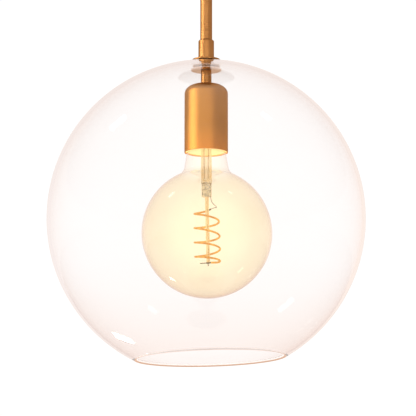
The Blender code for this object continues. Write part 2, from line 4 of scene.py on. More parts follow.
import bpy
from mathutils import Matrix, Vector

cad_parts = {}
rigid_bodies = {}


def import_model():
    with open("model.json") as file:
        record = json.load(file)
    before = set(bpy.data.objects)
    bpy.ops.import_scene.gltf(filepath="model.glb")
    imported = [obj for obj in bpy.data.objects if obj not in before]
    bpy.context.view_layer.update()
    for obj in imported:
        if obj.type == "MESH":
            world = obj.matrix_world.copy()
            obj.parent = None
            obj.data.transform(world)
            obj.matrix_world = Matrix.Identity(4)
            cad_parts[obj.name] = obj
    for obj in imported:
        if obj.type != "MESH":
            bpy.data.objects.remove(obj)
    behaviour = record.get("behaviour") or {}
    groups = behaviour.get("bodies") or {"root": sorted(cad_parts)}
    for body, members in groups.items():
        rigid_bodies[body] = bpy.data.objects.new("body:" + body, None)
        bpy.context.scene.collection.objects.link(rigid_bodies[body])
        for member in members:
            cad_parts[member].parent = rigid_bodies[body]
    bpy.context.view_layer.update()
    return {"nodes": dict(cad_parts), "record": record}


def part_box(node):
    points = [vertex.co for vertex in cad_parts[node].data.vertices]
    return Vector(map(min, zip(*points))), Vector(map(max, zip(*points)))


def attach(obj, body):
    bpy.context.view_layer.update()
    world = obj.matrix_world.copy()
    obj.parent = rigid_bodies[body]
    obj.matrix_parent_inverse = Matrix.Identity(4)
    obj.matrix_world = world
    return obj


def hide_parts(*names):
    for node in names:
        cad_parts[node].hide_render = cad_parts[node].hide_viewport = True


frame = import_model()

# The pendant light: a clear glass globe, open below, around a lit amber globe bulb in a brass cup,
# hung on a brass rod from a ceiling canopy. Metres, +Z up, in the CAD part's frame. Heights
# written as at(h) are measured up from the globe's centre.
GLOBE_RADIUS = 0.1525
GLOBE_WALL = 0.003
GLOBE_HOLE = 0.0062                 # radius of the hole at its top
MOUTH_DROP = 0.1345                 # from the globe's centre down to its lip, before the tilt
MOUTH_TURN = math.radians(1.7)      # the mouth is cut this far out of line with the stem
TILT_DROP = 0.055                   # the tilt starts this far below the globe's centre
BULB_WALL = 0.0007
BULB_PIVOT = 0.075                  # the height that the bulb leans from
BULB_LEAN = 0.0073                  # metres aside for each metre below it
ROD_EXTRA = 0.0003                  # the rod is drawn this much wider than in the CAD
THREAD_RADIUS = 0.00405
LAMP_THREAD = (0.0038, 0.0043, 0.001, 0.0003)   # M8: radii around its skin, pitch and depth
THREAD_HOLE = 0.0042                # radius of the holes around that thread
WIREWAY = 0.0029                    # radius of the bore that the wires run in
CUP_HOLE = 0.0044
CAP_PITCH = 0.0036                  # of the bulb's screw thread
STUD_HOLE = 0.00235
FLOOR_Z = -2.35

SHARP_ANGLE = 35.0                  # degrees: faces that meet at more than this show an edge
CORNER_TURN = math.radians(18)      # a profile's corners that turn less than this stay as drawn
CORNER_STEPS = 4
ON_AXIS = 1e-7                      # a profile point nearer the axis than this lies on it

globe_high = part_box("glass_globe")[1]
GLOBE_CENTRE = globe_high.z - math.sqrt(GLOBE_RADIUS ** 2 - GLOBE_HOLE ** 2)
bulb_low, bulb_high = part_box("bulb_glass")
BULB_RADIUS = (bulb_high.x - bulb_low.x) / 2.0
BULB_CENTRE = bulb_low.z + BULB_RADIUS

BODY_OF = {node: body for body, nodes in frame["record"]["behaviour"]["bodies"].items()
           for node in nodes}
SLOT_OF = {entry["node"]: entry["material_slot"] for entry in frame["record"]["subparts"]}


def at(height):
    """The world height of a point this far above the globe's centre."""
    return GLOBE_CENTRE + height


def span(node):
    """A turned CAD node's outer radius, lowest and highest point."""
    low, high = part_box(node)
    return (high.y - low.y) / 2.0, low.z, high.z


def off_axis(point):
    return math.hypot(point.x, point.y)


def eased(share):
    """A smooth step from 0 to 1, held at its ends."""
    share = min(1.0, max(0.0, share))
    return share * share * (3.0 - 2.0 * share)


# ---------------------------------------------------------------- materials

class Nodes:
    """A node tree being made, with short ways to add to it."""

    def __init__(self, tree):
        self.tree = tree

    def add(self, kind):
        return self.tree.nodes.new(kind)

    def join(self, source, target):
        self.tree.links.new(source, target)

    def spread(self, source, low, high, out_low=0.0, out_high=1.0, kind='LINEAR'):
        """Map a value from one range to another, held at its ends."""
        node = self.add("ShaderNodeMapRange")
        node.interpolation_type = kind
        node.inputs["From Min"].default_value = low
        node.inputs["From Max"].default_value = high
        node.inputs["To Min"].default_value = out_low
        node.inputs["To Max"].default_value = out_high
        self.join(source, node.inputs["Value"])
        return node.outputs["Result"]

    def blend(self, factor, first, second):
        """A colour between two, by a value; each is a colour or another node's socket."""
        node = self.add("ShaderNodeMix")
        node.data_type = 'RGBA'
        self.join(factor, node.inputs[0])
        for socket, colour in ((node.inputs[6], first), (node.inputs[7], second)):
            if isinstance(colour, tuple):
                socket.default_value = (*colour, 1.0)
            else:
                self.join(colour, socket)
        return node.outputs[2]

    def mottled(self, source, first, second, low=0.35, high=0.65):
        """A colour between two, by a noise whose middle values are spread to the full range."""
        return self.blend(self.spread(source, low, high), first, second)


class Look(Nodes):
    """A material being made: its tree, its main shader and the object's coordinates."""

    def __init__(self, name, colour, roughness, metallic=0.0):
        self.material = bpy.data.materials.new(name)
        self.material.use_nodes = True
        super().__init__(self.material.node_tree)
        self.shader = self.tree.nodes["Principled BSDF"]
        self.output = self.tree.nodes["Material Output"]
        self.set("Base Color", (*colour, 1.0))
        self.set("Roughness", roughness)
        self.set("Metallic", metallic)
        self.coordinates = self.add("ShaderNodeTexCoord").outputs["Object"]

    def set(self, socket, value):
        self.shader.inputs[socket].default_value = value

    def feed(self, source, socket):
        self.join(source, self.shader.inputs[socket])

    def stretched(self, scale):
        """The object's coordinates, scaled differently along each axis."""
        mapping = self.add("ShaderNodeMapping")
        mapping.inputs["Scale"].default_value = scale
        self.join(self.coordinates, mapping.inputs["Vector"])
        return mapping.outputs["Vector"]

    def noise(self, scale, detail=3.0, stretch=None):
        node = self.add("ShaderNodeTexNoise")
        node.inputs["Scale"].default_value = scale
        node.inputs["Detail"].default_value = detail
        self.join(self.stretched(stretch) if stretch else self.coordinates, node.inputs["Vector"])
        return node.outputs["Fac"]

    def total(self, first, second):
        node = self.add("ShaderNodeMath")
        node.operation = 'ADD'
        self.join(first, node.inputs[0])
        self.join(second, node.inputs[1])
        return node.outputs[0]

    def bump(self, height, strength, distance):
        node = self.add("ShaderNodeBump")
        node.inputs["Strength"].default_value = strength
        node.inputs["Distance"].default_value = distance
        self.join(height, node.inputs["Height"])
        self.feed(node.outputs["Normal"], "Normal")

    def marked(self, name):
        """How strongly a piece's points carry this mark, from 0 to 1."""
        node = self.add("ShaderNodeAttribute")
        node.attribute_name = name
        return node.outputs["Fac"]

    def edge(self):
        """0 where the surface faces the eye, 1 where it is seen edge on."""
        node = self.add("ShaderNodeLayerWeight")
        node.inputs["Blend"].default_value = 0.5
        return node.outputs["Facing"]

    def let_lamps_through(self, tint):
        """Lamps' light passes this glass unbent, so what is inside stays lit."""
        clear = self.add("ShaderNodeBsdfTransparent")
        clear.inputs["Color"].default_value = (*tint, 1.0)
        path = self.add("ShaderNodeLightPath")
        mix = self.add("ShaderNodeMixShader")
        self.join(path.outputs["Is Shadow Ray"], mix.inputs[0])
        self.join(self.shader.outputs[0], mix.inputs[1])
        self.join(clear.outputs[0], mix.inputs[2])
        self.join(mix.outputs[0], self.output.inputs["Surface"])


def brass_look(name, colour, tarnish, roughness, warm=None, edge_shade=(0.86, 0.80, 0.74)):
    """Satin brass, turned on a lathe: fine rings, soft tarnish, faint marks and painted shade at
    its edges; where warm is given, also the bulb's light painted on as a warmer colour and a glow.
    """
    look = Look(name, colour, roughness, 1.0)
    rings = look.noise(1.0, 2.0, (14.0, 14.0, 2600.0))
    broad = look.noise(30.0, 5.0)
    marks = look.noise(260.0, 4.0)
    shade = look.spread(look.total(broad, look.spread(marks, 0.3, 0.7, -0.05, 0.05)),
                        0.32, 0.72)
    worn = look.blend(shade, tarnish, colour)
    # painted light: where warm is given, the colour turns warmer by the mark "warm", for the
    # bulb's light on the cup's lower part
    if warm:
        worn = look.blend(look.marked("warm"), worn, warm)
    # painted shade: where the surface is seen edge on, the colour is blended towards a darker
    # tarnish
    side = look.spread(look.edge(), 0.45, 0.95)
    darker = tuple(channel * share for channel, share in zip(tarnish, edge_shade))
    look.feed(look.blend(side, worn, darker), "Base Color")
    look.set("Specular Tint", (0.80, 0.66, 0.50, 1.0))
    uneven = look.spread(broad, 0.35, 0.7, roughness - 0.03, roughness + 0.05)
    grain = look.spread(rings, 0.3, 0.7, -0.04, 0.04)
    look.feed(look.total(uneven, grain), "Roughness")
    look.bump(rings, 0.02, 0.00005)
    # painted light: a glow, yellow inside the cup and orange at its lower edge, standing in for
    # the bulb's light there
    if warm:
        mouth = look.marked("mouth")
        look.feed(look.blend(mouth, (1.0, 0.93, 0.44), (0.80, 0.36, 0.09)), "Emission Color")
        look.feed(look.total(look.spread(look.marked("lit"), 0.0, 1.0, 0.0, 1.05),
                             look.spread(mouth, 0.0, 1.0, 0.0, 0.55)), "Emission Strength")
    return look.material


def steel_look(name, colour, roughness):
    """Zinc-plated steel with a faint spangle and drawn scratches."""
    look = Look(name, colour, roughness, 1.0)
    patches = look.noise(160.0)
    scratches = look.noise(1.0, 2.0, (300.0, 2600.0, 300.0))
    darker = tuple(channel * 0.82 for channel in colour)
    look.feed(look.mottled(patches, darker, colour), "Base Color")
    look.feed(look.total(look.spread(patches, 0.3, 0.7, roughness - 0.06, roughness + 0.08),
                         look.spread(scratches, 0.3, 0.7, -0.06, 0.06)), "Roughness")
    look.bump(scratches, 0.12, 0.0001)
    return look.material


def coated_look(name, colour, roughness, grain_scale=900.0, variation=0.12, strength=0.1):
    """A moulded, glazed or painted skin: slight mottling and a fine surface grain."""
    look = Look(name, colour, roughness)
    mottle = look.noise(grain_scale * 0.12)
    grain = look.noise(grain_scale)
    darker = tuple(channel * (1.0 - variation) for channel in colour)
    look.feed(look.mottled(mottle, darker, colour), "Base Color")
    look.feed(look.spread(grain, 0.3, 0.7, roughness * 0.85, roughness * 1.2), "Roughness")
    look.bump(grain, strength, 0.0001)
    return look.material


def globe_glass_look():
    """Clear blown glass with very faint waves; the ground lip at its mouth is browner and opaque,
    with a faint painted glow in its own colour.
    """
    look = Look("globe_glass", (1.0, 0.996, 0.993), 0.0)
    look.set("Transmission Weight", 1.0)
    look.set("IOR", 1.34)
    waves = look.noise(9.0, 2.0)
    clear = look.mottled(waves, (0.996, 0.984, 0.979), (0.999, 0.990, 0.986), 0.3, 0.7)
    ground = look.spread(look.marked("lip"), 0.3, 0.7)
    brown = look.spread(look.marked("rim"), 0.0, 0.5)
    end_colour = look.blend(brown, (0.97, 0.92, 0.90), (0.50, 0.30, 0.19))
    warmer = look.blend(look.marked("low"), clear, (0.990, 0.940, 0.915))
    look.feed(look.blend(ground, warmer, end_colour), "Base Color")
    # painted light: the lip glows in its own colour, standing in for the light that its glass edge
    # carries
    look.feed(end_colour, "Emission Color")
    look.feed(look.spread(ground, 0.0, 1.0, 0.0, 0.42), "Emission Strength")
    look.feed(look.spread(ground, 0.0, 1.0, 1.0, 0.0), "Transmission Weight")
    look.feed(look.spread(ground, 0.0, 1.0, 0.0, 0.35), "Roughness")
    look.bump(waves, 0.01, 0.001)
    look.let_lamps_through((0.98, 0.97, 0.965))
    return look.material


def bulb_glass_look():
    """Thin bulb glass with an amber coat that ends at the neck, and a faint painted glow where it
    faces the eye.
    """
    look = Look("bulb_glass", (1.0, 0.94, 0.82), 0.0)
    look.set("Transmission Weight", 1.0)
    look.set("IOR", 1.40)
    coat = look.noise(22.0)
    amber = look.mottled(coat, (0.990, 0.928, 0.792), (0.997, 0.944, 0.818))
    edged = look.blend(look.spread(look.edge(), 0.70, 0.97), amber, (0.975, 0.84, 0.70))
    look.feed(look.blend(look.marked("neck"), edged, (0.998, 0.975, 0.935)), "Base Color")
    look.bump(coat, 0.02, 0.0006)
    # painted light: a faint glow where the glass faces the eye, fading to none at its edges, for
    # the filament's light in the glass
    look.set("Emission Color", (1.0, 0.80, 0.40, 1.0))
    look.feed(look.spread(look.edge(), 0.0, 0.30, 0.062, 0.0), "Emission Strength")
    look.let_lamps_through((1.0, 0.93, 0.80))
    return look.material


def stem_glass_look():
    """The bulb's mount: glass with the filament's warm light painted on as a glow, deeper at its
    edges.
    """
    look = Look("stem_glass", (0.62, 0.42, 0.18), 0.12)
    look.set("IOR", 1.5)
    streaks = look.noise(1.0, 3.0, (520.0, 520.0, 90.0))
    creases = look.noise(1.0, 3.0, (420.0, 420.0, 650.0))
    tone = look.spread(streaks, 0.35, 0.65)
    pressed = look.mottled(creases, (0.26, 0.18, 0.08), (0.92, 0.76, 0.46), 0.44, 0.56)
    pinch = look.marked("pinch")
    drawn = look.blend(tone, (0.50, 0.30, 0.10), (0.72, 0.52, 0.26))
    look.feed(look.blend(pinch, drawn, pressed), "Base Color")
    # painted light: a glow in the drawn glass and the pinch, standing in for the filament's light
    # caught in the stem
    painted_glow = look.blend(tone, (0.80, 0.48, 0.13), (1.0, 0.80, 0.40))
    look.feed(look.blend(pinch, painted_glow, pressed), "Emission Color")
    look.feed(look.spread(pinch, 0.0, 1.0, 0.55, 0.30), "Emission Strength")
    body = look.total(look.spread(look.edge(), 0.15, 0.85, 0.20, 0.60),
                      look.spread(pinch, 0.0, 1.0, 0.0, 0.30))
    rod = look.spread(look.marked("rod"), 0.0, 1.0, 0.0, 0.34)
    look.feed(look.total(look.total(body, rod), look.spread(streaks, 0.3, 0.7, -0.10, 0.10)),
              "Alpha")
    look.bump(streaks, 0.15, 0.0005)
    return look.material


def filament_look():
    """The glowing spiral: an amber coat, a little uneven along its length."""
    look = Look("filament", (0.26, 0.09, 0.02), 0.45)
    along = look.noise(260.0)
    hot = look.mottled(along, (0.66, 0.25, 0.020), (1.0, 0.52, 0.060), 0.38, 0.62)
    look.feed(hot, "Emission Color")
    look.feed(look.blend(along, (0.16, 0.05, 0.010), (0.30, 0.11, 0.02)), "Base Color")
    look.set("Specular IOR Level", 0.1)
    look.set("Emission Strength", 0.78)
    look.bump(along, 0.2, 0.0003)
    return look.material


def gasket_look():
    """Translucent silicone."""
    look = Look("clear_gasket", (0.90, 0.80, 0.74), 0.35)
    cloud = look.noise(300.0)
    look.feed(look.mottled(cloud, (0.82, 0.68, 0.62), (0.95, 0.88, 0.84)), "Base Color")
    look.feed(look.spread(cloud, 0.3, 0.7, 0.45, 0.62), "Alpha")
    return look.material


LOOKS = {
    "polished_brass": brass_look("satin_brass", (0.38, 0.180, 0.060), (0.31, 0.142, 0.046), 0.30),
    "contact_brass": brass_look("contact_brass", (0.66, 0.42, 0.18), (0.48, 0.28, 0.11), 0.34),
    "zinc_steel": steel_look("zinc_steel", (0.58, 0.59, 0.60), 0.36),
    "green_screw": coated_look("green_screw", (0.06, 0.30, 0.10), 0.38, 700.0),
    "globe_glass": globe_glass_look(),
    "bulb_glass": bulb_glass_look(),
    "stem_glass": stem_glass_look(),
    "clear_gasket": gasket_look(),
    "nylon": coated_look("nylon", (0.80, 0.77, 0.70), 0.45),
    "porcelain": coated_look("porcelain", (0.86, 0.84, 0.79), 0.12, 500.0, 0.06, 0.05),
    "black_glass": coated_look("black_glass", (0.02, 0.02, 0.025), 0.10, 400.0, 0.4, 0.05),
    "solder": steel_look("solder", (0.66, 0.67, 0.69), 0.30),
    "filament": filament_look(),
    "lead_wire": steel_look("lead_wire", (0.20, 0.13, 0.08), 0.46),
    "circuit_board": coated_look("circuit_board", (0.03, 0.17, 0.07), 0.35, 1500.0, 0.35),
    "capacitor": coated_look("capacitor", (0.05, 0.06, 0.13), 0.25),
    "live_insulation": coated_look("live_insulation", (0.02, 0.02, 0.02), 0.42),
    "neutral_insulation": coated_look("neutral_insulation", (0.80, 0.80, 0.77), 0.42),
    "ground_insulation": coated_look("ground_insulation", (0.05, 0.30, 0.09), 0.42),
}


# The cup's brass: its fourth colour is the bulb's warm light painted on low down, and its last
# numbers set a light painted shade at its edges.
CUP_BRASS = brass_look("cup_brass", (0.47, 0.222, 0.048), (0.38, 0.166, 0.034), 0.38,
                       (0.56, 0.225, 0.044), (1.12, 1.10, 1.06))
# The lower washer's brass is painted nearly white: a painted reflection standing for the glare it
# shows through the globe's glass, with barely any painted shade at its edges.
WASHER_BRASS_PAINTED_GLARE = brass_look("washer_brass_painted_glare", (1.0, 0.90, 0.80), (0.98, 0.86, 0.76), 0.22, None,
                          (1.0, 0.98, 0.96))
CRIMP_STEEL = steel_look("crimp_steel", (0.07, 0.035, 0.02), 0.5)


# ---------------------------------------------------------------- mesh work

def arc(centre_r, centre_z, radius_r, radius_z, start, end, steps):
    """Points of an elliptical arc in a turned profile; angles in degrees, 0 outwards, 90 up."""
    points = []
    for step in range(steps + 1):
        angle = math.radians(start + (end - start) * step / steps)
        points.append((centre_r + radius_r * math.cos(angle),
                       centre_z + radius_z * math.sin(angle)))
    return points


def soften(points, size, closed=True):
    """Round off a profile's corners over this distance on each side."""
    count = len(points)
    softened = []
    for index, point in enumerate(points):
        if not closed and index in (0, count - 1):
            softened.append(point)
            continue
        here = Vector(point)
        back = Vector(points[index - 1]) - here
        onward = Vector(points[(index + 1) % count]) - here
        turn = math.pi - back.angle(onward)
        if turn < CORNER_TURN:
            softened.append(point)
            continue
        reach = min(size, 0.45 * back.length, 0.45 * onward.length)
        first = here + back.normalized() * reach
        last = here + onward.normalized() * reach
        for step in range(CORNER_STEPS + 1):
            t = step / CORNER_STEPS
            softened.append(tuple(first * (1 - t) ** 2 + here * 2 * t * (1 - t) + last * t * t))
    return softened


def refine(points, longest, closed=True):
    """Add points along a profile so that no stretch is longer than this."""
    refined = []
    count = len(points)
    for index in range(count if closed else count - 1):
        start = Vector(points[index])
        end = Vector(points[(index + 1) % count])
        parts = max(1, math.ceil((end - start).length / longest))
        refined += [tuple(start.lerp(end, part / parts)) for part in range(parts)]
    if not closed:
        refined.append(points[-1])
    return refined


def new_piece(name, vertices, faces, sharp=SHARP_ANGLE):
    """A mesh object, smooth except where its faces meet at more than the sharp angle."""
    mesh = bpy.data.meshes.new(name)
    mesh.from_pydata(vertices, [], faces)
    mesh.shade_smooth()
    mesh.set_sharp_from_angle(angle=math.radians(sharp))
    piece = bpy.data.objects.new(name, mesh)
    bpy.context.scene.collection.objects.link(piece)
    return piece


def turned(name, profile, segments=96, closed=True, centre=(0.0, 0.0), shape=None):
    """A turned solid about a vertical line, from a profile that runs down its outer side.

    A closed profile makes a ring; an open one starts and ends on the axis. shape, where given,
    changes a point's radius and height by its angle.
    """
    vertices = []
    loops = []
    for radius, height in profile:
        if radius < ON_AXIS:
            vertices.append((centre[0], centre[1], height))
            loops.append([len(vertices) - 1] * segments)
            continue
        loop = []
        for step in range(segments):
            angle = 2.0 * math.pi * step / segments
            r, z = shape(radius, height, angle) if shape else (radius, height)
            vertices.append((centre[0] + r * math.cos(angle), centre[1] + r * math.sin(angle), z))
            loop.append(len(vertices) - 1)
        loops.append(loop)
    pairs = list(zip(loops, loops[1:]))
    if closed:
        pairs.append((loops[-1], loops[0]))
    faces = []
    for upper, lower in pairs:
        for step in range(segments):
            after = (step + 1) % segments
            corners = dict.fromkeys((upper[step], lower[step], lower[after], upper[after]))
            if len(corners) > 2:
                faces.append(list(corners))
    return new_piece(name, vertices, faces)


def threaded(radius_low, radius_high, pitch, depth, low, high):
    """A shape for turned(): a helical thread cut into points between two radii.

    It fades out over one turn at each end.
    """
    def shape(radius, height, angle):
        if not (radius_low < radius < radius_high and low < height < high):
            return radius, height
        ease = min(1.0, (height - low) / pitch, (high - height) / pitch)
        wave = 0.5 - 0.5 * math.cos(2.0 * math.pi * (height / pitch - angle / (2.0 * math.pi)))
        return radius - depth * ease * wave, height

    return shape


def tube(name, points, radius, sides=12, smooth=6, taper=None):
    """A round wire along a smooth curve through the points, with closed ends.

    taper, where given, scales its radius by the share of its points already passed.
    """
    route = smoothed(points, smooth) if smooth > 1 else [Vector(point) for point in points]
    vertices = []
    faces = []
    side_way = None
    for index, here in enumerate(route):
        ahead = route[min(index + 1, len(route) - 1)] - route[max(index - 1, 0)]
        ahead.normalize()
        if side_way is None:
            side_way = ahead.orthogonal().normalized()
        side_way = (side_way - ahead * side_way.dot(ahead)).normalized()
        other_way = ahead.cross(side_way)
        width = radius * (taper(index / (len(route) - 1)) if taper else 1.0)
        for side in range(sides):
            angle = 2.0 * math.pi * side / sides
            out = side_way * math.cos(angle) + other_way * math.sin(angle)
            vertices.append(tuple(here + out * width))
    for index in range(len(route) - 1):
        for side in range(sides):
            after = (side + 1) % sides
            row = index * sides
            faces.append([row + side, row + after, row + sides + after, row + sides + side])
    last_row = (len(route) - 1) * sides
    faces.append(list(reversed(range(sides))))
    faces.append([last_row + side for side in range(sides)])
    return new_piece(name, vertices, faces, 50.0)


def smoothed(points, steps):
    """Points along a Catmull-Rom curve through the given ones."""
    knots = [Vector(point) for point in points]
    knots = [knots[0] * 2 - knots[1]] + knots + [knots[-1] * 2 - knots[-2]]
    route = []
    for index in range(1, len(knots) - 2):
        before, start, end, after = knots[index - 1:index + 3]
        for step in range(steps):
            t = step / steps
            route.append(0.5 * (2 * start + (end - before) * t
                                + (2 * before - 5 * start + 4 * end - after) * t * t
                                + (3 * start - before - 3 * end + after) * t * t * t))
    route.append(knots[-2])
    return route


def mark(piece, name, strength):
    """Store a mark on a piece's points for its material; strength(point) runs from 0 to 1."""
    layer = piece.data.attributes.new(name, 'FLOAT', 'POINT')
    for index, vertex in enumerate(piece.data.vertices):
        layer.data[index].value = min(1.0, max(0.0, strength(vertex.co)))


def dress(piece, node, material=None):
    """Give a piece its CAD node's body, slot and material, and let it stand for the node."""
    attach(piece, BODY_OF[node])
    piece.data.materials.clear()
    piece.data.materials.append(material or LOOKS[SLOT_OF[node]])
    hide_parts(node)
    return piece


def fine_ring(node, inner, edge=0.0004, segments=96, material=None):
    """A finer ring in place of a plain turned CAD node, with small rounded edges."""
    outer, low, high = span(node)
    profile = soften([(inner, high), (outer, high), (outer, low), (inner, low)], edge)
    return dress(turned("fine_" + node, profile, segments), node, material)


# ---------------------------------------------------------------- glass globe

def mouth_tilted(point):
    """Turn the lower part of the globe a little about its centre, more towards the mouth."""
    lift = point.z - GLOBE_CENTRE
    turn = MOUTH_TURN * eased((-lift - TILT_DROP) / (MOUTH_DROP - TILT_DROP))
    return (point.x * math.cos(turn) - lift * math.sin(turn), point.y,
            GLOBE_CENTRE + point.x * math.sin(turn) + lift * math.cos(turn))


def build_globe():
    """The glass ball, with a rounded lip at its mouth."""
    inner_radius = GLOBE_RADIUS - GLOBE_WALL
    hole_angle = math.degrees(math.acos(GLOBE_HOLE / GLOBE_RADIUS))
    hole_angle_inside = math.degrees(math.acos(GLOBE_HOLE / inner_radius))
    bead = GLOBE_WALL / 2.0
    middle = GLOBE_RADIUS - bead
    mouth_angle = math.degrees(math.asin((MOUTH_DROP - bead) / middle))
    rim_angle = math.radians(mouth_angle)
    rim_r = middle * math.cos(rim_angle)
    rim_z = GLOBE_CENTRE - middle * math.sin(rim_angle)
    profile = arc(0.0, GLOBE_CENTRE, GLOBE_RADIUS, GLOBE_RADIUS, hole_angle, -mouth_angle, 150)
    profile += arc(rim_r, rim_z, bead, bead, -mouth_angle, -mouth_angle - 180.0, 12)[1:-1]
    profile += arc(0.0, GLOBE_CENTRE, inner_radius, inner_radius, -mouth_angle,
                   hole_angle_inside, 150)
    globe = dress(turned("fine_globe", profile, 192), "glass_globe")

    lip_start = 0.0004                  # the lip's ground look comes in over this much glass
    tint_start, tint_depth = 0.055, 0.075

    def past_wall(point):
        angle = math.atan2(GLOBE_CENTRE - point.z, off_axis(point))
        return (angle - rim_angle) * middle / lip_start

    mark(globe, "lip", past_wall)
    mark(globe, "rim", lambda point: (rim_z - point.z) / bead)
    mark(globe, "low", lambda point: (GLOBE_CENTRE - point.z - tint_start) / tint_depth)
    for vertex in globe.data.vertices:
        vertex.co = mouth_tilted(vertex.co)


# ---------------------------------------------------------------- stem, washers and cup

def build_stem():
    """The rod, and what is stacked on the threaded tube between it and the cup."""
    rod_radius, rod_low, rod_high = span("suspension_rod")
    rod_radius += ROD_EXTRA
    upper_thread, lower_thread = 0.0227, 0.0079     # their lengths
    shoulder_high = rod_high - upper_thread
    shoulder_low = rod_low + lower_thread
    profile = [(THREAD_RADIUS, rod_high), (THREAD_RADIUS, shoulder_high),
               (rod_radius, shoulder_high), (rod_radius, shoulder_low),
               (THREAD_RADIUS, shoulder_low), (THREAD_RADIUS, rod_low),
               (WIREWAY, rod_low), (WIREWAY, rod_high)]
    profile = refine(soften(profile, 0.0003), 0.0006)
    dress(turned("fine_suspension_rod", profile, 64,
                 shape=threaded(*LAMP_THREAD, shoulder_high, rod_high)), "suspension_rod")

    radius, low, high = span("rod_coupling")
    bevel = 0.0008
    profile = [(THREAD_HOLE, high), (radius - bevel, high), (radius, high - bevel),
               (radius, low + bevel), (radius - bevel, low), (THREAD_HOLE, low)]
    dress(turned("fine_rod_coupling", soften(profile, 0.0002)), "rod_coupling")

    fine_ring("upper_washer", THREAD_HOLE, segments=128)
    # the lower washer takes the pale brass whose colour is painted glare
    fine_ring("lower_washer", THREAD_HOLE, segments=128, material=WASHER_BRASS_PAINTED_GLARE)
    fine_ring("spacer_sleeve", THREAD_HOLE, edge=0.0003)
    fine_ring("upper_gasket", 0.0077)
    fine_ring("lower_gasket", 0.0045)

    radius, low, high = span("centring_cone")
    brim, cone, collar = 0.0006, 0.0025, 0.0052
    profile = [(THREAD_HOLE, high), (radius, high), (radius, high - brim), (collar, high - cone),
               (collar, low), (THREAD_HOLE, low)]
    dress(turned("fine_centring_cone", soften(profile, 0.0002)), "centring_cone")

    radius, low, high = span("threaded_nipple")
    profile = [(radius, high), (radius, low), (WIREWAY, low), (WIREWAY, high)]
    dress(turned("fine_threaded_nipple", refine(soften(profile, 0.0003), 0.00025), 48,
                 shape=threaded(*LAMP_THREAD, low, high)), "threaded_nipple")


def build_cup():
    """The cup's shell, open below, with marks where the bulb's light is painted on it: a warmer
    colour low down, and a glow inside it and at its lower edge.
    """
    radius, low, high = span("socket_cup")
    wall = 0.001
    flat = 0.010                        # the crown's flat middle, then a round shoulder
    rise = 0.009
    profile = [(CUP_HOLE, high)]
    profile += arc(flat, high - rise, radius - flat, rise, 90.0, 0.0, 28)
    profile += [(radius, low), (radius - wall, low)]
    profile += arc(flat, high - rise, radius - flat - wall, rise - wall, 0.0, 90.0, 28)
    profile.append((CUP_HOLE, high - wall))
    profile = soften(refine(profile, 0.0007), 0.0003)
    cup = dress(turned("fine_socket_cup", profile, 144), "socket_cup", CUP_BRASS)

    def lit(point):
        if off_axis(point) < radius - 0.0007 and point.z > low + 0.0012:
            return 1.0 - (point.z - low) / 0.045
        return 0.0

    def mouth(point):
        return 1.0 if off_axis(point) < radius - 0.0002 and point.z < low + 0.0014 else 0.0

    # painted light: these marks give the warmer colour low on the cup, the glow inside it and the
    # glow at its lower edge, all for the bulb's light
    mark(cup, "warm", lambda point: 1.0 - (point.z - low) / 0.022)
    mark(cup, "lit", lit)
    mark(cup, "mouth", mouth)


# ---------------------------------------------------------------- bulb

# radius and height, up from where the neck leaves the ball
BULB_NECK = ((0.0242, 0.0441), (0.0224, 0.0464), (0.0214, 0.0492), (0.0197, 0.0590),
             (0.0189, 0.0640), (0.0175, 0.0680), (0.0152, 0.0712), (0.0132, 0.0730),
             (0.0123, 0.0748), (0.0123, 0.0780))


def inset(points, offset):
    """An open profile that runs down its outer side, moved this much towards the inside."""
    moved = []
    for index, point in enumerate(points):
        back = Vector(points[max(index - 1, 0)])
        onward = Vector(points[min(index + 1, len(points) - 1)])
        along = (onward - back).normalized()
        moved.append((point[0] + along.y * offset, point[1] - along.x * offset))
    return moved


def leaned(piece):
    """Swing a piece of the bulb aside, more the further down it is."""
    for vertex in piece.data.vertices:
        vertex.co.x += BULB_LEAN * (at(BULB_PIVOT) - vertex.co.z)


def build_bulb_glass():
    """The thin glass ball and neck, closed below."""
    neck = [(radius, at(height)) for radius, height in reversed(BULB_NECK)]
    curve = [tuple(point) for point in smoothed(neck, 5)]
    neck_radius, neck_foot = neck[-1]
    start = math.degrees(math.atan2(neck_foot - BULB_CENTRE, neck_radius))
    sphere = arc(0.0, BULB_CENTRE, BULB_RADIUS, BULB_RADIUS, start, -90.0, 110)
    outside = curve[:-3] + sphere[1:-1]
    narrowest = 1e-4
    inside = [(max(radius, narrowest), height) for radius, height in inset(outside, BULB_WALL)]
    bottom = BULB_CENTRE - BULB_RADIUS
    profile = outside + [(0.0, bottom), (0.0, bottom + BULB_WALL)] + list(reversed(inside))
    bulb = dress(turned("fine_bulb_glass", profile, 160), "bulb_glass")
    neck_start, neck_blend = 0.040, 0.008
    mark(bulb, "neck", lambda point: (point.z - at(neck_start)) / neck_blend)
    leaned(bulb)


